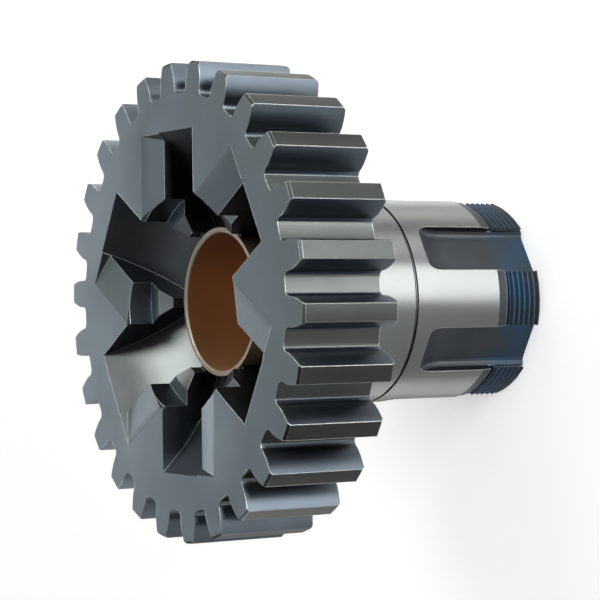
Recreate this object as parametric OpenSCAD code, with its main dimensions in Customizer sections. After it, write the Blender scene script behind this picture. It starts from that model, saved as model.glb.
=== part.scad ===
// Main drive gear of a gearbox: a spur gear with a hollow splined shaft, turned and cut from one
// steel blank, and a bronze bush pressed into its bore.
// It stands on its threaded end, with the gear's front face on top. Sizes are in millimetres.

/* [Gear teeth] */
// Number of teeth
teeth = 26; // [24:1:34]
// Pitch diameter of the gear divided by its number of teeth
tooth_module = 3.2; // [3.1:0.05:4]
// Slope of the tooth flank at the pitch circle, in degrees
pressure_angle = 14.5; // [14.5:0.5:20]
// Height of a tooth above the pitch circle
addendum = 2.85; // [2:0.05:3.2]
// Depth of a gap below the pitch circle
dedendum = 3; // [2.8:0.05:3.8]
// Rounding at the foot of a tooth
root_fillet = 1.1; // [0.3:0.05:1.3]
// Chamfer on the ends of the tooth tips
tip_chamfer = 0.45; // [0.2:0.05:1.2]
// Width of the gear, from its front face to its rear face
face_w = 19.4; // [17:0.1:30]
// Turn of the first tooth from the middle of the first dog, in degrees
tooth_turn = -2.95; // [-6.9:0.05:6.9]

/* [Dog recess] */
// Number of dogs, with one slot between each two
dogs = 6; // [6:2:6]
// Width of a slot between two dogs
slot_w = 13.2; // [11:0.1:13.5]
// Distance from the axis to the outer end of a slot, on the front face
slot_reach = 31.8; // [28:0.1:35]
// Radius of the disc cutter that makes the curved slot floors
slot_cutter_r = 42; // [38:0.5:60]
// Width of the ramp along one edge of each dog
ramp_w = 7; // [3:0.1:7.5]
// Depth of the ramp at the edge of the slot
ramp_drop = 1.2; // [0.4:0.1:2]
// Diameter of the counterbore across the dog tips
mouth_d = 41; // [38:0.1:46]
// Depth of the counterbore
mouth_depth = 5.4; // [3:0.1:6]
// Chamfer on the mouth of the counterbore
mouth_chamfer = 0.6; // [0.2:0.05:1.2]
// Diameter of the countersink where it starts in the floor of the counterbore
sink_d = 35.6; // [31:0.1:37]
// Slope of the countersink below the counterbore's floor, in degrees
sink_angle = 29; // [15:1:32]
// Diameter of the step at the foot of the countersink, round the end of the bush
step_d = 29.6; // [29.2:0.1:30.6]
// Height by which the bush stands above that step
step_drop = 0.3; // [0.1:0.1:1]

/* [Shaft] */
// Diameter of the bearing journal and of the spline lands
journal_d = 39.7; // [39.4:0.1:44]
// Length of the journal, from the gear's rear face to the groove
journal_len = 20.3; // [12:0.1:40]
// Rounding where the journal meets the gear's rear face
journal_fillet = 1; // [0.3:0.1:3]
// Width of the groove at the end of the journal
groove_w = 0.8; // [0.5:0.1:2]
// Depth of that groove
groove_depth = 0.6; // [0.2:0.1:1]
// Length of the splined part, from the groove to the end of its lands
spline_len = 18.7; // [14:0.1:30]
// Length of the cone that leads on to the lands
lead_len = 1.2; // [0.5:0.1:3]
// Length of the plain collar behind the thread
collar_len = 0.8; // [0.4:0.1:3]
// Width of the thread's run-out groove
relief_w = 1; // [0.6:0.1:2]
// Diameter at the bottom of the run-out groove
relief_d = 37; // [35:0.1:37.2]
// Length of the threaded end
thread_len = 7.6; // [5:0.1:20]
// Outer diameter of the thread, and of the collar behind it
thread_d = 39.2; // [38.4:0.1:39.4]
// Depth of the thread, taken off to leave its core
thread_depth = 0.6; // [0.3:0.05:0.7]
// Chamfer on the threaded end
tail_chamfer = 0.7; // [0.2:0.05:1]

/* [Spline slots] */
// Number of spline slots
spline_slots = 6; // [4:1:8]
// Width of a spline slot
spline_w = 9.55; // [6:0.05:10]
// Depth of a spline slot at its middle, below the lands
spline_depth = 2.8; // [1.5:0.1:3.2]
// Rounding at the foot of the slot's walls
spline_fillet = 1.3; // [0.4:0.1:1.4]
// Radius of the disc cutter, which shows at the closed end of the slot
spline_cutter_r = 9; // [6:0.5:14]
// Distance from the groove to the closed end of the slots
spline_start = 2.9; // [1:0.1:5]

/* [Bronze bush] */
// Bore of the bush
bush_bore = 25.9; // [20:0.1:26.4]
// Outer diameter of the bush, and the bore that it is pressed into
bush_d = 27.8; // [27:0.1:29]
// Depth of the bush's end below the gear's front face
bush_sink = 9; // [8.2:0.1:14]
// Depth of the bush's other end inside the threaded end
bush_tail_sink = 3; // [0.5:0.1:10]
// Chamfer on the rims of the bush's bore
bush_chamfer = 0.25; // [0.2:0.05:0.9]

/* [Hidden] */
$fn = 96;

// Points along one flank, one root rounding and one tip
flank_steps = 7;
fillet_steps = 3;
tip_steps = 2;
// How far a cut runs past the surface that it opens
over = 1;
// How far the ramps' cuts stay off the slot floors
ramp_clear = 0.2;

pitch_r = teeth * tooth_module / 2;
base_r = pitch_r * cos(pressure_angle);
tip_r = pitch_r + addendum;
root_r = pitch_r - dedendum;
// Radius at which a flank ends: on the base circle, or at the top of the rounding where that is higher
foot_r = max(base_r, sqrt(pow(root_r + root_fillet, 2) - pow(root_fillet, 2)));

// Heights above the threaded end, on which the part stands
thread_top = thread_len;
relief_top = thread_top + relief_w;
collar_top = relief_top + collar_len;
lead_top = collar_top + lead_len;
groove_bottom = lead_top + spline_len;
groove_top = groove_bottom + groove_w;
rear_z = groove_top + journal_len;
front_z = rear_z + face_w;
bush_top = front_z - bush_sink;

journal_r = journal_d / 2;
thread_r = thread_d / 2;
core_r = thread_r - thread_depth;
mouth_r = mouth_d / 2;
sink_r = sink_d / 2;
step_r = step_d / 2;
seat_r = bush_d / 2;
// Height of the slot cutter's centre above the front face
slot_cutter_rise = sqrt(pow(slot_cutter_r, 2) - pow(slot_reach, 2));
// Distance from the axis to the floor of a spline slot
spline_floor = journal_r - spline_depth;
// Length over which a spline slot runs out at its closed end
spline_runout = sqrt(pow(spline_cutter_r, 2) - pow(spline_cutter_r - spline_depth, 2));

function polar(r, a) = [r * cos(a), r * sin(a)];
function mirrored(points) = [for (i = [len(points) - 1:-1:0]) [points[i][0], -points[i][1]]];
function turned(points, a) = [
    for (p = points) [p[0] * cos(a) - p[1] * sin(a), p[0] * sin(a) + p[1] * cos(a)]
];

// Points of an arc about a centre, from one angle to another
function arc(centre, r, from, to, steps) = [
    for (i = [0:steps]) centre + polar(r, from + (to - from) * i / steps)
];

// Angle, in degrees, by which an involute has curled away at a given pressure angle
function curl(a) = tan(a) * 180 / PI - a;

// Half of a tooth's thickness at a radius, as an angle; below the base circle the flank is radial
function half_tooth(r) =
    90 / teeth + curl(pressure_angle) - (r > base_r ? curl(acos(base_r / r)) : 0);

// One side of a tooth, from the middle of its tip down to the floor of the gap beside it
function tooth_side() =
    let (
        foot = half_tooth(foot_r),
        swing = asin(root_fillet / (root_r + root_fillet)),
        centre = polar(root_r + root_fillet, foot + swing)
    ) concat(
        [for (i = [0:tip_steps - 1]) polar(tip_r, half_tooth(tip_r) * i / tip_steps)],
        [
            for (i = [0:flank_steps])
                let (r = tip_r + (foot_r - tip_r) * i / flank_steps)
                    polar(r, half_tooth(r))
        ],
        arc(centre, root_fillet, foot + 270, foot + 180 + swing, fillet_steps)
    );

function gear_outline() =
    let (side = tooth_side(), tooth = concat(mirrored(side), [for (i = [1:len(side) - 1]) side[i]])) [
        for (i = [0:teeth - 1]) each turned(tooth, tooth_turn + 360 / teeth * i)
    ];

// The toothed wheel, with the ends of its tooth tips chamfered
module toothed_wheel() {
    translate([0, 0, rear_z])
        intersection() {
            linear_extrude(face_w)
                polygon(gear_outline());
            rotate_extrude()
                polygon([
                    [0, 0],
                    [tip_r - tip_chamfer, 0],
                    [tip_r + over, tip_chamfer + over],
                    [tip_r + over, face_w - tip_chamfer - over],
                    [tip_r - tip_chamfer, face_w],
                    [0, face_w],
                ]);
        }
}

// The shaft's turned outline, from the threaded end up to the gear's rear face
module shaft_blank() {
    fillet_centre = [journal_r + journal_fillet, rear_z - journal_fillet];
    rotate_extrude()
        polygon(concat(
            [
                [0, 0],
                [core_r - tail_chamfer, 0],
                [core_r, tail_chamfer],
                [core_r, thread_top],
                [relief_d / 2, thread_top],
                [relief_d / 2, relief_top],
                [thread_r, relief_top],
                [thread_r, collar_top],
                [journal_r, lead_top],
                [journal_r, groove_bottom],
                [journal_r - groove_depth, groove_bottom],
                [journal_r - groove_depth, groove_top],
                [journal_r, groove_top],
            ],
            arc(fillet_centre, journal_fillet, 180, 90, fillet_steps),
            [
                [journal_r + journal_fillet, rear_z + over],
                [0, rear_z + over],
            ]
        ));
}

// The disc cutter, set across the axis so that one pass makes two opposite slots
module slot_cutter(r, width) {
    translate([0, 0, front_z + slot_cutter_rise])
        rotate([90, 0, 0])
            cylinder(h = width, r = r, center = true);
}

module dog_slots() {
    for (i = [0:dogs / 2 - 1])
        rotate(180 / dogs + 360 / dogs * i)
            slot_cutter(slot_cutter_r, slot_w);
}

// The ramp along one edge of every dog, which falls towards the slot beside it and runs out with the
// curve of the slot's floor
module dog_ramps() {
    lowest = ramp_drop * (1 + over / ramp_w);
    for (i = [0:dogs - 1])
        rotate(180 / dogs + 360 / dogs * i)
            intersection() {
                translate([0, slot_w / 2, front_z])
                    rotate([90, 0, 90])
                        linear_extrude(slot_reach + over)
                            polygon([[-over, -lowest], [ramp_w, 0], [ramp_w, over], [-over, over]]);
                slot_cutter(slot_cutter_r - ramp_clear, slot_w + 2 * (ramp_w + over));
            }
}

// Counterbore, countersink, step and through bore, as one turned cut
module turned_bore() {
    sink_bottom = front_z - mouth_depth - (sink_r - step_r) * tan(sink_angle);
    step_z = bush_top - step_drop;
    rotate_extrude()
        polygon([
            [0, -over],
            [seat_r, -over],
            [seat_r, step_z],
            [step_r, step_z],
            [step_r, sink_bottom],
            [sink_r, front_z - mouth_depth],
            [mouth_r, front_z - mouth_depth],
            [mouth_r, front_z - mouth_chamfer],
            [mouth_r + mouth_chamfer + over, front_z + over],
            [0, front_z + over],
        ]);
}

// Cross-section of the spline cutter's rim: across the slot, and out from the slot's floor
module spline_section() {
    half = spline_w / 2;
    reach = spline_depth + over;
    polygon(concat(
        [[-half, reach]],
        arc([-half + spline_fillet, spline_fillet], spline_fillet, 180, 270, fillet_steps),
        arc([half - spline_fillet, spline_fillet], spline_fillet, 270, 360, fillet_steps),
        [[half, reach]]
    ));
}

// One spline slot, open at the threaded end and running out with the cutter's curve
module spline_slot() {
    full_top = groove_bottom - spline_start - spline_runout;
    translate([spline_floor, 0, -over])
        linear_extrude(full_top + over)
            rotate(-90)
                spline_section();
    translate([spline_floor + spline_cutter_r, 0, full_top])
        rotate([90, 0, 0])
            rotate_extrude()
                translate([spline_cutter_r, 0])
                    rotate(90)
                        spline_section();
}

module drive_gear() {
    color([0.55, 0.57, 0.59])
        difference() {
            union() {
                toothed_wheel();
                shaft_blank();
            }
            dog_slots();
            dog_ramps();
            turned_bore();
            for (i = [0:spline_slots - 1])
                rotate(180 / spline_slots + 360 / spline_slots * i)
                    spline_slot();
        }
}

module bronze_bush() {
    bush_r = bush_bore / 2;
    bush_bottom = bush_tail_sink;
    color([0.68, 0.42, 0.22])
        rotate_extrude()
            polygon([
                [bush_r + bush_chamfer, bush_bottom],
                [seat_r, bush_bottom],
                [seat_r, bush_top],
                [bush_r + bush_chamfer, bush_top],
                [bush_r, bush_top - bush_chamfer],
                [bush_r, bush_bottom + bush_chamfer],
            ]);
}

drive_gear();
bronze_bush();
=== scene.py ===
"""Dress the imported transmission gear: its steel finishes, thread, bronze bush, stage and camera.

The file is laid out as an add-on and run as a script. Lengths are in metres, and places are in the
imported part's frame: +Z along the axis, with the threaded end on the floor and the gear on top.
"""

import math

import bmesh
import bpy
from bpy.props import FloatProperty, FloatVectorProperty, IntProperty, PointerProperty
from mathutils import Euler, Matrix, Vector


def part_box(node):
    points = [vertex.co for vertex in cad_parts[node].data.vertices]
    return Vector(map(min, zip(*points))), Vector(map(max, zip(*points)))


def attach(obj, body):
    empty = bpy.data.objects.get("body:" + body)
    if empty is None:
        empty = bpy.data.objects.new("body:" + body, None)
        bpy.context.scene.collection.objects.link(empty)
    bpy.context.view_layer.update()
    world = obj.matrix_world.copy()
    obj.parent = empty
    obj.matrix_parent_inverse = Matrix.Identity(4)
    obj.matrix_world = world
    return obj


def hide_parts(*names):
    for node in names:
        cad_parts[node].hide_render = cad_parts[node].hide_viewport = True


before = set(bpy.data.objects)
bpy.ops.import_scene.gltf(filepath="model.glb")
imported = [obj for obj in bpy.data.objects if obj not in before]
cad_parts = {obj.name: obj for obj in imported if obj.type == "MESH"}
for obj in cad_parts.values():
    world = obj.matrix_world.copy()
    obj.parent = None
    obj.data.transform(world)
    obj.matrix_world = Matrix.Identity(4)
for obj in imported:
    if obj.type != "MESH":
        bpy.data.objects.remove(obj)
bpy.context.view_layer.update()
GEAR_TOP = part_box("drive_gear")[1].z

bl_info = {
    "name": "Transmission gear",
    "version": (1, 0, 0),
    "blender": (4, 5, 0),
    "location": "View3D > Sidebar > Gear",
    "description": "Dresses the packed transmission gear and sets its stage",
    "category": "Object",
}

# Faces that look along the axis at least this much count as level, and at most this much as upright
LEVEL = 0.98
UPRIGHT = 0.3
# Faces of the teeth that look away from the axis at least this much count as tips or roots
OUTWARD = 0.8
# Faces this far inside the root circle, the thread's core and the journal still count as theirs
ROOT_MARGIN = 0.0005
CORE_MARGIN = 0.0015
JOURNAL_MARGIN = 0.0003
# The thread's ridges reach this far into its core
RIDGE_SINK = 0.0001
# Edges sharper than these angles stay sharp
SMOOTH_ANGLE = math.radians(35)
RECESS_SMOOTH_ANGLE = math.radians(20)
# The point that the lamps look at
PART_MIDDLE = (0, 0, 0.04)
# The camera's right, its back and its place, and the width of its sensor in millimetres
CAMERA_RIGHT = (0.5230, -0.0137, -0.8522)
CAMERA_BACK = (0.8523, -0.0054, 0.5231)
CAMERA_PLACE = (0.35191, -0.00206, 0.25919)
SENSOR_WIDTH = 36
# Half the floor's width
FLOOR_REACH = 3
# The floor lies this far below the part, so that the two don't share a plane
FLOOR_GAP = 0.0001
# Between these distances from the axis the lamps' light on the floor fades, and its own white takes over
FLOOR_FADE = (0.35, 1.2)
# Places closer than this are one
MERGE_DISTANCE = 1e-6


def length(name, description, default):
    """A length that a user may change."""
    return FloatProperty(name=name, description=description, default=default, min=0, precision=5,
                         unit="LENGTH")


def colour(name, description, default):
    """A colour that a user may change."""
    return FloatVectorProperty(name=name, description=description, default=default, size=3, min=0, max=1,
                               subtype="COLOR")


def level(name, description, default):
    """A plain amount that a user may change."""
    return FloatProperty(name=name, description=description, default=default, min=0)


class GearSizes(bpy.types.PropertyGroup):
    """Where the finishes of the steel body begin and end, and the thread's sizes."""

    front_z: length("Front face", "Height of the gear's front face", GEAR_TOP)
    ramp_drop: length("Ramp", "Depth of the ramps on the dogs below the front face", 0.0013)
    mouth_z: length("Counterbore", "Height of the counterbore's floor", 0.0644)
    rear_z: length("Rear face", "Height of the gear's rear face", 0.0504)
    root_r: length("Root radius", "Radius of the floors of the tooth gaps", 0.0386)
    journal_r: length("Journal radius", "Radius of the journal and of the spline lands", 0.01985)
    lands_z: length("Lands", "Height at which the spline lands begin", 0.0106)
    collar_z: length("Collar", "Height at which the plain collar begins", 0.0086)
    thread_top: length("Thread top", "Height at which the thread ends", 0.0076)
    thread_bottom: length("Thread bottom", "Height at which the thread begins", 0.0007)
    thread_r: length("Thread radius", "Radius over the thread's crests", 0.0196)
    core_r: length("Core radius", "Radius of the thread's core", 0.0190)
    thread_pitch: length("Thread pitch", "Distance from one crest of the thread to the next", 0.00121)
    spline_w: length("Spline slot", "Width of the slots that cut the thread", 0.00955)
    spline_slots: IntProperty(name="Spline slots", description="Number of slots that cut the thread",
                              default=6, min=1)


class GearColours(bpy.types.PropertyGroup):
    """The colours of the finishes."""

    face: colour("Ground face", "Satin steel of the front and rear faces", (0.47, 0.56, 0.615))
    face_blue: colour("Blued face", "Faint blue patches of the faces", (0.42, 0.54, 0.68))
    tips: colour("Tooth tips", "Dark turned steel of the tooth tips", (0.077, 0.084, 0.081))
    roots: colour("Tooth roots", "Steel of the gaps' floors, with a thinner skin", (0.113, 0.122, 0.121))
    flanks: colour("Tooth flanks", "Dark hardened steel of the tooth flanks", (0.099, 0.119, 0.140))
    floors: colour("Recess floors", "Milled steel of slot floors and countersink", (0.208, 0.226, 0.238))
    # Painted shade: the walls inside the recess are coloured near black
    walls: colour("Recess walls", "Dark hardened steel of the slot walls", (0.041, 0.050, 0.062))
    journal: colour("Journal", "Bright ground steel of the journal and spline lands", (0.270, 0.280, 0.278))
    spline: colour("Spline slots", "Milled steel of the spline slots", (0.055, 0.061, 0.066))
    thread: colour("Thread", "Blackened steel of the threaded end", (0.045, 0.059, 0.073))
    thread_tint: colour("Thread tint", "Blue sheen of the blackened steel", (0.012, 0.085, 0.19))
    # Bare steel of worn edges, which also serves as a painted highlight along the edges
    edge: colour("Edges", "Bare steel where edges are worn", (0.78, 0.80, 0.79))
    bronze: colour("Bronze", "Bored bronze of the bush", (1.0, 0.55, 0.28))
    # Painted shade: the bore's +Y side is mixed towards this greyer, darker bronze
    bronze_painted_shade: colour("Dull bronze", "Dull bronze of the bore's +Y side", (0.42, 0.31, 0.25))
    bush_end: colour("Bush end", "Pale faced bronze on the end of the bush", (0.95, 0.84, 0.73))


class GearStage(bpy.types.PropertyGroup):
    """The floor, the lamps and the camera."""

    floor: colour("Floor", "Colour of the floor", (0.86, 0.86, 0.86))
    floor_glow: level("Floor glow", "How much of the floor's white doesn't depend on the lamps", 0.46)
    surroundings: colour("Surroundings", "Colour of the light from all around", (0.80, 0.90, 1.0))
    surroundings_level: level("Surroundings level", "Strength of the light from all around", 0.03)
    key_power: level("Key lamp", "Power of the large lamp above the gear's left, in watts", 2.3)
    strip_power: level("Strip lamp", "Power of the low lamp beside the camera, in watts", 4.35)
    top_power: level("Top lamp", "Power of the large lamp straight above, in watts", 0.6)
    side_power: level("Side lamp", "Power of the low lamp between the strip and the left, in watts", 1.15)
    left_power: level("Left lamp", "Power of the low lamp on the left, in watts", 0.95)
    right_power: level("Right lamp", "Power of the low lamp on the right, in watts", 1.25)
    back_power: level("Back lamp", "Power of the low lamp behind the gear, in watts", 0.80)
    fill_power: level("Fill lamp", "Power of the lamp above the gear's right, in watts", 0.20)
    rim_power: level("Rim lamp", "Power of the low lamp behind the left, in watts", 1.40)
    high_power: level("High lamp", "Power of the lamp above the camera's left, in watts", 0.36)
    warm_tint: colour("Warm tint", "Colour of the key lamp and the left lamp", (1.0, 1.0, 0.90))
    lens: FloatProperty(name="Lens", description="Focal length, in millimetres on a 36 mm sensor",
                        default=129.7, min=1)


class GearSettings(bpy.types.PropertyGroup):
    """All of the gear's settings."""

    sizes: PointerProperty(type=GearSizes)
    colours: PointerProperty(type=GearColours)
    stage: PointerProperty(type=GearStage)


class NodeTree:
    """A material's nodes in the making, around one Principled shader."""

    def __init__(self, name):
        self.material = bpy.data.materials.new(name)
        self.material.use_nodes = True
        self.tree = self.material.node_tree
        self.shader = self.tree.nodes["Principled BSDF"]
        self.place = self.add("ShaderNodeTexCoord").outputs["Object"]

    def add(self, kind, settings=None, inputs=None):
        """Add a node, set its settings and give its inputs a value or a link."""
        node = self.tree.nodes.new(kind)
        for name, value in (settings or {}).items():
            setattr(node, name, value)
        for name, value in (inputs or {}).items():
            self.feed(node.inputs[name], value)
        return node

    def feed(self, socket, value):
        """Give one input socket a value, or a link from an output socket."""
        if isinstance(value, bpy.types.NodeSocket):
            self.tree.links.new(value, socket)
        elif socket.type == "RGBA":
            socket.default_value = (*value, 1)
        else:
            socket.default_value = value

    def shade(self, **values):
        """Feed the shader's sockets; an underscore in a name stands for a space."""
        for name, value in values.items():
            self.feed(self.shader.inputs[name.replace("_", " ")], value)

    def math(self, operation, first, second=0.0):
        """The result of a sum on one or two values."""
        return self.add("ShaderNodeMath", {"operation": operation}, {0: first, 1: second}).outputs[0]

    def spread(self, value, low, high, start=0.0, end=1.0):
        """A value between start and end, moved to lie between low and high."""
        node = self.add("ShaderNodeMapRange", None, {
            "Value": value, "From Min": start, "From Max": end, "To Min": low, "To Max": high,
        })
        return node.outputs["Result"]

    def mix(self, factor, first, second):
        """Two colours mixed by a factor."""
        node = self.add("ShaderNodeMix", {"data_type": "RGBA"})
        self.feed(node.inputs["Factor"], factor)
        self.feed(node.inputs[6], first)
        self.feed(node.inputs[7], second)
        return node.outputs[2]

    def shaded(self, tint, factor):
        """A colour of the tree made darker or lighter by a factor."""
        node = self.add("ShaderNodeVectorMath", {"operation": "SCALE"}, {0: tint, "Scale": factor})
        return node.outputs[0]

    def worn(self, tone, edge, share, bare):
        """A tone that gives way to bare metal along the edges, up to a share: worn edges, and partly a
        painted edge highlight.
        """
        return self.mix(self.math("MULTIPLY", edge, share), tone, bare)

    def noise(self, where, scale, detail=3.0):
        """Soft noise from 0 to 1."""
        node = self.add("ShaderNodeTexNoise", None, {"Vector": where, "Scale": scale, "Detail": detail})
        return node.outputs["Fac"]

    def lines(self, along, scale, detail=2.0):
        """Noise that changes along one value only, so it shows as fine parallel lines."""
        node = self.add("ShaderNodeTexNoise", {"noise_dimensions": "1D"},
                        {"W": along, "Scale": scale, "Detail": detail})
        return node.outputs["Fac"]

    def radius(self):
        """The distance from the gear's axis."""
        flat = self.add("ShaderNodeVectorMath", {"operation": "MULTIPLY"}, {0: self.place, 1: (1, 1, 0)})
        node = self.add("ShaderNodeVectorMath", {"operation": "LENGTH"}, {0: flat.outputs[0]})
        return node.outputs["Value"]

    def height(self):
        """The height above the threaded end."""
        return self.add("ShaderNodeSeparateXYZ", None, {0: self.place}).outputs["Z"]

    def true_slope(self):
        """How much the surface looks along the gear's axis, from 0 to 1."""
        true = self.add("ShaderNodeNewGeometry").outputs["True Normal"]
        along = self.add("ShaderNodeSeparateXYZ", None, {0: true}).outputs["Z"]
        return self.math("ABSOLUTE", along)

    def soft_edges(self, size):
        """The surface's direction with its edges rounded, and how close the nearest edge is."""
        rounded = self.add("ShaderNodeBevel", {"samples": 6}, {"Radius": size}).outputs[0]
        true = self.add("ShaderNodeNewGeometry").outputs["True Normal"]
        agree = self.add("ShaderNodeVectorMath", {"operation": "DOT_PRODUCT"}, {0: rounded, 1: true})
        return rounded, self.spread(agree.outputs["Value"], low=1.0, high=0.0, start=0.82, end=0.99)

    def bump(self, height, distance, strength, normal):
        """The surface's direction, disturbed by a height."""
        node = self.add("ShaderNodeBump", None, {
            "Height": height, "Distance": distance, "Strength": strength, "Normal": normal,
        })
        return node.outputs[0]

    def along_axis(self):
        """The direction of the gear's axis, in which turned surfaces spread a highlight."""
        return self.add("ShaderNodeCombineXYZ", None, {"X": 0.0, "Y": 0.0, "Z": 1.0}).outputs[0]


def shades(tint, factor):
    """A colour made darker or lighter by a factor."""
    return tuple(min(1.0, part * factor) for part in tint)


def ground_face(colours):
    """Satin ground steel, with faint rings from the facing cut, a cloudy tone, and rougher ramps darkened
    as painted shade.
    """
    nodes = NodeTree("ground_face")
    rounded, edge = nodes.soft_edges(size=0.00022)
    cloud = nodes.noise(nodes.place, scale=70.0, detail=4.0)
    rings = nodes.lines(nodes.radius(), scale=9000.0)
    grain = nodes.noise(nodes.place, scale=2600.0, detail=2.0)
    patches = nodes.noise(nodes.place, scale=45.0, detail=3.0)
    blued = nodes.spread(patches, low=0.0, high=0.35, start=0.40, end=0.65)
    tone = nodes.mix(blued, colours.face, colours.face_blue)
    tone = nodes.mix(cloud, nodes.shaded(tone, 0.82), nodes.shaded(tone, 1.16))
    slope = nodes.true_slope()
    # Painted shade: faces tilted off level, the ramps, are darkened to two thirds
    tone = nodes.shaded(tone, nodes.spread(slope, low=0.66, high=1.0, start=0.987, end=0.998))
    milled = nodes.spread(slope, low=0.09, high=0.0, start=0.987, end=0.998)
    tone = nodes.worn(tone, edge, share=0.6, bare=colours.edge)
    marks = nodes.math("ADD", nodes.math("MULTIPLY", rings, 0.5), grain)
    nodes.shade(
        Base_Color=tone,
        Metallic=1.0,
        Roughness=nodes.math("ADD", nodes.spread(marks, low=0.30, high=0.40, start=0.4, end=1.1), milled),
        Normal=nodes.bump(marks, distance=0.000012, strength=0.35, normal=rounded),
    )
    return nodes.material


def turned_tips(colours):
    """Turned steel with lines round the wheel, which draws its highlights out along the teeth."""
    nodes = NodeTree("turned_tips")
    rounded, edge = nodes.soft_edges(size=0.00028)
    cloud = nodes.noise(nodes.place, scale=110.0, detail=4.0)
    cuts = nodes.lines(nodes.height(), scale=5200.0)
    grain = nodes.noise(nodes.place, scale=2200.0, detail=2.0)
    outer = nodes.spread(nodes.radius(), low=0.0, high=1.0, start=0.0392, end=0.0405)
    steel = nodes.mix(outer, colours.roots, colours.tips)
    tone = nodes.mix(cloud, nodes.shaded(steel, 0.80), nodes.shaded(steel, 1.15))
    tone = nodes.worn(tone, edge, share=0.8, bare=colours.edge)
    marks = nodes.math("ADD", nodes.math("MULTIPLY", grain, 0.4), cuts)
    nodes.shade(
        Base_Color=tone,
        Metallic=1.0,
        Roughness=nodes.spread(marks, low=0.46, high=0.56, start=0.4, end=1.1),
        Anisotropic=0.95,
        Tangent=nodes.along_axis(),
        Normal=nodes.bump(marks, distance=0.000010, strength=0.3, normal=rounded),
    )
    return nodes.material


def dark_flanks(colours):
    """Hardened steel that has kept its dark skin, with the marks of the tooth cutter along it."""
    nodes = NodeTree("dark_flanks")
    rounded, edge = nodes.soft_edges(size=0.00028)
    cloud = nodes.noise(nodes.place, scale=130.0, detail=4.0)
    cuts = nodes.lines(nodes.radius(), scale=3800.0)
    tone = nodes.mix(cloud, shades(colours.flanks, 0.75), shades(colours.flanks, 1.25))
    tone = nodes.worn(tone, edge, share=0.7, bare=colours.edge)
    nodes.shade(
        Base_Color=tone,
        Metallic=1.0,
        Roughness=nodes.spread(cuts, low=0.40, high=0.52),
        Anisotropic=0.8,
        Tangent=nodes.along_axis(),
        Normal=nodes.bump(cuts, distance=0.000010, strength=0.3, normal=rounded),
    )
    return nodes.material


def milled_floors(colours):
    """Milled steel with fine curved cutter marks and a cloudy tone."""
    nodes = NodeTree("milled_floors")
    rounded, edge = nodes.soft_edges(size=0.00022)
    cloud = nodes.noise(nodes.place, scale=130.0, detail=4.0)
    cuts = nodes.lines(nodes.radius(), scale=4200.0)
    tone = nodes.mix(cloud, shades(colours.floors, 0.72), shades(colours.floors, 1.25))
    tone = nodes.worn(tone, edge, share=0.5, bare=colours.edge)
    nodes.shade(
        Base_Color=tone,
        Metallic=1.0,
        Roughness=nodes.spread(cuts, low=0.27, high=0.37),
        Normal=nodes.bump(cuts, distance=0.000012, strength=0.3, normal=rounded),
    )
    return nodes.material


def painted_shade_walls(colours):
    """Steel of the walls of the slots and of the counterbore, darkened near black as painted shade of the
    recess.
    """
    nodes = NodeTree("painted_shade_walls")
    rounded, edge = nodes.soft_edges(size=0.00022)
    cloud = nodes.noise(nodes.place, scale=150.0, detail=4.0)
    cuts = nodes.lines(nodes.height(), scale=3600.0)
    tone = nodes.mix(cloud, shades(colours.walls, 0.70), shades(colours.walls, 1.30))
    tone = nodes.worn(tone, edge, share=0.4, bare=colours.edge)
    nodes.shade(
        Base_Color=tone,
        Metallic=1.0,
        Roughness=nodes.spread(cuts, low=0.38, high=0.50),
        Normal=nodes.bump(cuts, distance=0.000012, strength=0.3, normal=rounded),
    )
    return nodes.material


def ground_journal(colours):
    """Bright steel ground round the shaft, with the finest of lines."""
    nodes = NodeTree("ground_journal")
    rounded, edge = nodes.soft_edges(size=0.00018)
    cloud = nodes.noise(nodes.place, scale=90.0, detail=3.0)
    turns = nodes.lines(nodes.height(), scale=14000.0)
    tone = nodes.mix(cloud, shades(colours.journal, 0.92), shades(colours.journal, 1.06))
    tone = nodes.worn(tone, edge, share=0.6, bare=colours.edge)
    nodes.shade(
        Base_Color=tone,
        Metallic=1.0,
        Roughness=nodes.spread(turns, low=0.42, high=0.50),
        Anisotropic=1.0,
        Tangent=nodes.along_axis(),
        Normal=nodes.bump(turns, distance=0.000004, strength=0.25, normal=rounded),
    )
    return nodes.material


def milled_spline(colours):
    """Milled steel with the cutter's marks across the slot, blackened towards the thread."""
    nodes = NodeTree("milled_spline")
    rounded, edge = nodes.soft_edges(size=0.00025)
    cloud = nodes.noise(nodes.place, scale=160.0, detail=4.0)
    height = nodes.height()
    cuts = nodes.lines(height, scale=3600.0)
    tone = nodes.mix(cloud, shades(colours.spline, 0.70), shades(colours.spline, 1.25))
    patches = nodes.noise(nodes.place, scale=150.0, detail=2.0)
    sheen = nodes.spread(patches, low=0.0, high=0.4, start=0.42, end=0.66)
    blacked = nodes.mix(sheen, colours.thread, colours.thread_tint)
    near_thread = nodes.spread(height, low=1.0, high=0.0, start=0.0068, end=0.0100)
    tone = nodes.mix(near_thread, tone, blacked)
    tone = nodes.worn(tone, edge, share=0.4, bare=colours.edge)
    nodes.shade(
        Base_Color=tone,
        Metallic=1.0,
        Roughness=nodes.spread(cuts, low=0.40, high=0.55),
        Anisotropic=0.6,
        Tangent=nodes.along_axis(),
        Normal=nodes.bump(cuts, distance=0.000010, strength=0.3, normal=rounded),
    )
    return nodes.material


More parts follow.
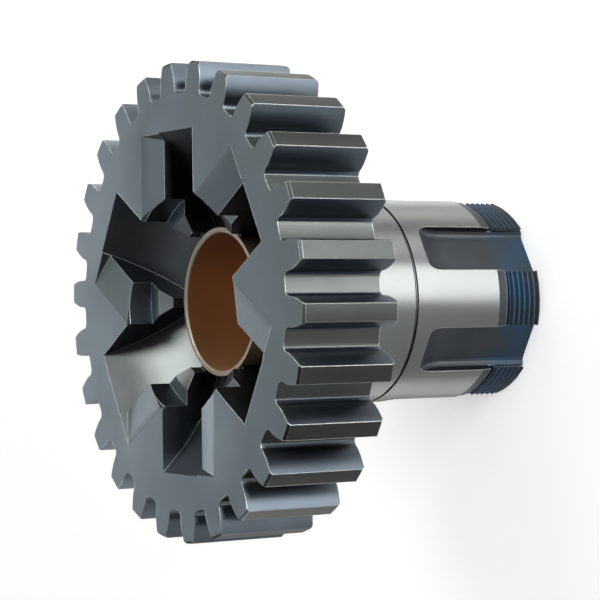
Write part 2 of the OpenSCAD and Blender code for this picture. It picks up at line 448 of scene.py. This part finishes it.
def black_thread(colours):
    """Oiled blackened steel with a faint blue sheen, worn towards the end of the thread."""
    nodes = NodeTree("black_thread")
    rounded, edge = nodes.soft_edges(size=0.00015)
    patches = nodes.noise(nodes.place, scale=110.0, detail=2.0)
    sheen = nodes.spread(patches, low=0.0, high=0.35, start=0.42, end=0.66)
    grain = nodes.noise(nodes.place, scale=1800.0, detail=2.0)
    tone = nodes.mix(sheen, colours.thread, colours.thread_tint)
    near_end = nodes.spread(nodes.height(), low=0.8, high=0.0, start=0.0005, end=0.0035)
    tone = nodes.mix(near_end, tone, colours.spline)
    tone = nodes.worn(tone, edge, share=0.08, bare=shades(colours.edge, 0.5))
    nodes.shade(
        Base_Color=tone,
        Metallic=1.0,
        Roughness=nodes.spread(grain, low=0.46, high=0.60),
        Normal=nodes.bump(grain, distance=0.00001, strength=0.3, normal=rounded),
    )
    return nodes.material


def bored_bronze(colours):
    """Bronze with fine boring lines, a warmer, darker cloud and painted shade on the bore's +Y side."""
    nodes = NodeTree("bored_bronze")
    rounded, edge = nodes.soft_edges(size=0.00015)
    cloud = nodes.noise(nodes.place, scale=120.0, detail=4.0)
    turns = nodes.lines(nodes.height(), scale=6000.0)
    tone = nodes.mix(cloud, shades(colours.bronze, 0.80), shades(colours.bronze, 1.15))
    across = nodes.add("ShaderNodeSeparateXYZ", None, {0: nodes.place}).outputs["Y"]
    # Painted shade: the bore turns to the greyer, darker bronze towards +Y
    painted_shade = nodes.spread(across, low=0.0, high=1.0, start=-0.004, end=0.010)
    tone = nodes.mix(painted_shade, tone, colours.bronze_painted_shade)
    on_end = nodes.spread(nodes.true_slope(), low=0.0, high=1.0, start=0.4, end=0.7)
    # The pale end colour also runs along the edges, partly as a painted edge highlight
    bare = nodes.math("MAXIMUM", on_end, edge)
    tone = nodes.mix(nodes.math("MULTIPLY", bare, 0.9), tone, colours.bush_end)
    nodes.shade(
        Base_Color=tone,
        Metallic=0.55,
        Roughness=nodes.spread(turns, low=0.30, high=0.44),
        Normal=nodes.bump(turns, distance=0.000008, strength=0.3, normal=rounded),
    )
    return nodes.material


# The makers of the steel body's finishes, in the order of its material slots
FINISH_MAKERS = (
    ground_face,
    turned_tips,
    dark_flanks,
    milled_floors,
    painted_shade_walls,
    ground_journal,
    milled_spline,
    black_thread,
)
FINISHES = [maker.__name__ for maker in FINISH_MAKERS]


def looks_out(face, centre):
    """Tell whether a face looks away from the gear's axis."""
    return face.normal.xy.dot(centre.xy.normalized()) > OUTWARD


def wheel_finish(face, centre, sizes):
    """Name the finish of a face of the toothed wheel."""
    looks_up = face.normal.z > LEVEL
    on_front = looks_up and centre.z > sizes.front_z - sizes.ramp_drop
    on_mouth = looks_up and abs(centre.z - sizes.mouth_z) < MERGE_DISTANCE
    on_rear = face.normal.z < -LEVEL
    if on_front or on_mouth or on_rear:
        return "ground_face"
    upright = abs(face.normal.z) < UPRIGHT
    if centre.xy.length < sizes.root_r - ROOT_MARGIN:
        return "painted_shade_walls" if upright else "milled_floors"
    return "dark_flanks" if upright and not looks_out(face, centre) else "turned_tips"


def shaft_finish(face, centre, sizes):
    """Name the finish of a face of the shaft."""
    radius = centre.xy.length
    outward = looks_out(face, centre)
    on_thread = outward and radius > sizes.core_r - CORE_MARGIN
    on_end = abs(face.normal.z) > UPRIGHT
    if centre.z < sizes.collar_z and (on_thread or on_end):
        return "black_thread"
    if outward and radius > sizes.journal_r - JOURNAL_MARGIN and centre.z > sizes.lands_z:
        return "ground_journal"
    return "milled_spline"


def finish_of(face, sizes):
    """Name the finish of one face of the steel body, from where it lies and which way it looks."""
    centre = face.calc_center_median()
    on_wheel = centre.z > sizes.rear_z - MERGE_DISTANCE
    return wheel_finish(face, centre, sizes) if on_wheel else shaft_finish(face, centre, sizes)


def stays_sharp(edge):
    """Tell whether an edge of the steel body is a real corner."""
    first, second = edge.link_faces
    if first.material_index != second.material_index:
        return True
    in_recess = FINISHES[first.material_index] == "milled_floors"
    return edge.calc_face_angle() > (RECESS_SMOOTH_ANGLE if in_recess else SMOOTH_ANGLE)


def merged_copy(node):
    """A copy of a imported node's shape, with its loose triangles joined."""
    shape = bmesh.new()
    shape.from_mesh(node.data)
    bmesh.ops.remove_doubles(shape, verts=shape.verts, dist=MERGE_DISTANCE)
    shape.normal_update()
    return shape


def add_piece(name, shape, materials):
    """Make an object of a shape, and let it ride on the part's body."""
    mesh = bpy.data.meshes.new(name)
    shape.to_mesh(mesh)
    shape.free()
    for material in materials:
        mesh.materials.append(material)
    piece = bpy.data.objects.new(name, mesh)
    bpy.context.scene.collection.objects.link(piece)
    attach(piece, "root")
    return piece


def keep_flats_flat(piece):
    """Let the large faces rule the shading, so that flats beside roundings stay flat."""
    weighted = piece.modifiers.new("flats", "WEIGHTED_NORMAL")
    weighted.keep_sharp = True


class DressSteel(bpy.types.Operator):
    """Give each face of the steel body its finish."""

    bl_idname = "gear.dress_steel"
    bl_label = "Dress the steel body"

    def execute(self, context):
        settings = context.scene.transmission_gear
        shape = merged_copy(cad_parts["drive_gear"])
        for face in shape.faces:
            face.smooth = True
            face.material_index = FINISHES.index(finish_of(face, settings.sizes))
        for edge in shape.edges:
            edge.smooth = not stays_sharp(edge)
        materials = [make(settings.colours) for make in FINISH_MAKERS]
        body = add_piece("steel_body", shape, materials)
        keep_flats_flat(body)
        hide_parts("drive_gear")
        return {"FINISHED"}


def turn_about_axis(shape, verts, angle):
    """Turn some corners of a shape about the gear's axis."""
    bmesh.ops.rotate(shape, verts=verts, cent=(0, 0, 0), matrix=Matrix.Rotation(angle, 3, "Z"))


class CutThread(bpy.types.Operator):
    """Add the thread's ridges on its core, on each land between two spline slots."""

    bl_idname = "gear.cut_thread"
    bl_label = "Cut the thread"

    # Straight steps along each ridge of a land
    steps = 8

    def execute(self, context):
        sizes = context.scene.transmission_gear.sizes
        ridges = bmesh.new()
        for land in range(sizes.spline_slots):
            self.add_land(ridges, sizes, land)
        add_piece("thread_ridges", ridges, [bpy.data.materials["black_thread"]])
        return {"FINISHED"}

    def add_land(self, ridges, sizes, land):
        """Make the ridges of one land on the +X side, trim them and turn them to their place."""
        turn = 2 * math.pi / sizes.spline_slots
        count = math.ceil((sizes.thread_top - sizes.thread_bottom) / sizes.thread_pitch) + 2
        shape = bmesh.new()
        for ridge in range(count):
            lead = ridge - 1 + land / sizes.spline_slots
            self.add_ridge(shape, sizes, turn, sizes.thread_bottom + sizes.thread_pitch * lead)
        self.trim(shape, (0, 0, sizes.thread_bottom), (0, 0, -1))
        self.trim(shape, (0, 0, sizes.thread_top), (0, 0, 1))
        for side in (-1, 1):
            into_slot = Vector((-math.sin(turn / 2), side * math.cos(turn / 2), 0))
            self.trim(shape, into_slot * (-sizes.spline_w / 2), into_slot)
        bmesh.ops.recalc_face_normals(shape, faces=shape.faces)
        turn_about_axis(shape, shape.verts, land * turn)
        made = bpy.data.meshes.new("land_ridges")
        shape.to_mesh(made)
        shape.free()
        ridges.from_mesh(made)
        bpy.data.meshes.remove(made)

    def add_ridge(self, shape, sizes, turn, start_z):
        """Spin one ridge's outline along the thread, past both ends of the land."""
        half = sizes.thread_pitch / 2
        crest = sizes.thread_pitch / 16
        sunk_r = sizes.core_r - RIDGE_SINK
        outline = [(sunk_r, -half), (sizes.thread_r, -crest), (sizes.thread_r, crest), (sunk_r, half)]
        corners = [shape.verts.new((radius, 0, start_z + rise)) for radius, rise in outline]
        section = shape.faces.new(corners)
        turn_about_axis(shape, corners, -turn / 2)
        rise = sizes.thread_pitch / sizes.spline_slots / self.steps
        bmesh.ops.spin(shape, geom=[section], cent=(0, 0, 0), axis=(0, 0, 1), dvec=(0, 0, rise),
                       angle=turn, steps=self.steps, use_duplicate=False)

    def trim(self, shape, place, outwards):
        """Cut off what lies beyond a plane, and close the ends."""
        everything = [*shape.verts, *shape.edges, *shape.faces]
        bmesh.ops.bisect_plane(shape, geom=everything, plane_co=place, plane_no=outwards, clear_outer=True)
        open_edges = [edge for edge in shape.edges if edge.is_boundary]
        bmesh.ops.holes_fill(shape, edges=open_edges, sides=0)


class DressBush(bpy.types.Operator):
    """Give the bronze bush its finish."""

    bl_idname = "gear.dress_bush"
    bl_label = "Dress the bush"

    def execute(self, context):
        settings = context.scene.transmission_gear
        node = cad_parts["bronze_bush"]
        node.data.materials[0] = bored_bronze(settings.colours)
        return {"FINISHED"}


def add_lamp(name, power, azimuth, elevation, distance, size, tint=(1, 1, 1)):
    """Add a soft lamp that looks at the middle of the part, from a direction given in degrees."""
    light = bpy.data.lights.new(name, "AREA")
    light.shape = "RECTANGLE"
    light.size, light.size_y = size
    light.energy = power
    light.color = tint
    lamp = bpy.data.objects.new(name, light)
    outwards = Vector((distance, 0, 0))
    outwards.rotate(Euler((0, -math.radians(elevation), math.radians(azimuth))))
    lamp.location = Vector(PART_MIDDLE) + outwards
    lamp.rotation_mode = "QUATERNION"
    lamp.rotation_quaternion = outwards.to_track_quat("Z", "Y")
    lamp.visible_camera = False
    bpy.context.scene.collection.objects.link(lamp)


class SetStage(bpy.types.Operator):
    """Set the floor, the lamps and the camera."""

    bl_idname = "gear.set_stage"
    bl_label = "Set the stage"

    def execute(self, context):
        settings = context.scene.transmission_gear.stage
        context.scene.view_settings.view_transform = "Standard"
        self.add_floor(settings)
        self.set_surroundings(context, settings)
        add_lamp("key_lamp", settings.key_power, azimuth=119, elevation=60, distance=0.85,
                 size=(0.40, 0.40), tint=settings.warm_tint)
        add_lamp("strip_lamp", settings.strip_power, azimuth=17, elevation=7, distance=0.55,
                 size=(0.35, 0.16))
        add_lamp("side_lamp", settings.side_power, azimuth=58, elevation=6, distance=0.70,
                 size=(0.30, 0.10))
        add_lamp("top_lamp", settings.top_power, azimuth=180, elevation=85, distance=1.00,
                 size=(0.60, 0.60))
        add_lamp("left_lamp", settings.left_power, azimuth=100, elevation=10, distance=0.70,
                 size=(0.25, 0.25), tint=settings.warm_tint)
        add_lamp("right_lamp", settings.right_power, azimuth=-107, elevation=10, distance=0.70,
                 size=(0.36, 0.25))
        add_lamp("back_lamp", settings.back_power, azimuth=180, elevation=10, distance=0.90,
                 size=(0.40, 0.30))
        add_lamp("fill_lamp", settings.fill_power, azimuth=-148, elevation=38, distance=0.90,
                 size=(0.40, 0.40))
        add_lamp("rim_lamp", settings.rim_power, azimuth=125, elevation=3, distance=0.70,
                 size=(0.26, 0.10))
        add_lamp("high_lamp", settings.high_power, azimuth=60, elevation=45, distance=0.75,
                 size=(0.30, 0.30))
        self.set_camera(context, settings)
        return {"FINISHED"}

    def add_floor(self, settings):
        """Lay a wide floor under the threaded end."""
        shape = bmesh.new()
        bmesh.ops.create_grid(shape, x_segments=1, y_segments=1, size=FLOOR_REACH)
        bmesh.ops.translate(shape, verts=shape.verts, vec=(0, 0, -FLOOR_GAP))
        mesh = bpy.data.meshes.new("floor")
        shape.to_mesh(mesh)
        shape.free()
        floor = bpy.data.objects.new("floor", mesh)
        nodes = NodeTree("floor")
        path = nodes.add("ShaderNodeLightPath").outputs
        seen = nodes.math("MAXIMUM", path["Is Camera Ray"], path["Is Glossy Ray"])
        seen = nodes.math("MAXIMUM", seen, path["Is Transmission Ray"])
        glow = nodes.spread(nodes.radius(), settings.floor_glow, 1.0, *FLOOR_FADE)
        nodes.shade(
            Base_Color=settings.floor,
            Roughness=0.9,
            Emission_Color=(1, 1, 1),
            Emission_Strength=nodes.math("MULTIPLY", seen, glow),
        )
        mesh.materials.append(nodes.material)
        bpy.context.scene.collection.objects.link(floor)

    def set_surroundings(self, context, settings):
        """Light the scene softly from all around."""
        world = bpy.data.worlds.new("surroundings")
        world.use_nodes = True
        background = world.node_tree.nodes["Background"]
        background.inputs["Color"].default_value = (*settings.surroundings, 1)
        background.inputs["Strength"].default_value = settings.surroundings_level
        context.scene.world = world

    def set_camera(self, context, settings):
        """Set the camera at the photograph's angle, with the shaft towards the right of the frame."""
        right = Vector(CAMERA_RIGHT)
        back = Vector(CAMERA_BACK)
        up = back.cross(right)
        right = up.cross(back)
        camera = bpy.data.objects.new("camera", bpy.data.cameras.new("camera"))
        camera.data.lens = settings.lens
        camera.data.sensor_width = SENSOR_WIDTH
        camera.data.clip_start = 0.01
        camera.matrix_world = Matrix.Translation(CAMERA_PLACE) @ Matrix(
            (right.normalized(), up.normalized(), back.normalized())
        ).transposed().to_4x4()
        context.scene.collection.objects.link(camera)
        context.scene.camera = camera


class GearPanel(bpy.types.Panel):
    """The gear's pieces and settings."""

    bl_idname = "VIEW3D_PT_transmission_gear"
    bl_label = "Transmission gear"
    bl_space_type = "VIEW_3D"
    bl_region_type = "UI"
    bl_category = "Gear"

    def draw(self, context):
        settings = context.scene.transmission_gear
        for operator in OPERATORS:
            self.layout.operator(operator.bl_idname)
        for group in (settings.sizes, settings.colours, settings.stage):
            box = self.layout.box()
            for name in group.__annotations__:
                box.prop(group, name)


OPERATORS = (DressSteel, CutThread, DressBush, SetStage)
CLASSES = (GearSizes, GearColours, GearStage, GearSettings, *OPERATORS, GearPanel)


def register():
    """Register the settings, the operators and the panel."""
    for kind in CLASSES:
        bpy.utils.register_class(kind)
    bpy.types.Scene.transmission_gear = PointerProperty(type=GearSettings)


def unregister():
    """Take the settings, the operators and the panel away again."""
    del bpy.types.Scene.transmission_gear
    for kind in reversed(CLASSES):
        bpy.utils.unregister_class(kind)


def main():
    """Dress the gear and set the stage."""
    register()
    bpy.ops.gear.dress_steel()
    bpy.ops.gear.cut_thread()
    bpy.ops.gear.dress_bush()
    bpy.ops.gear.set_stage()


if __name__ == "__main__":
    main()
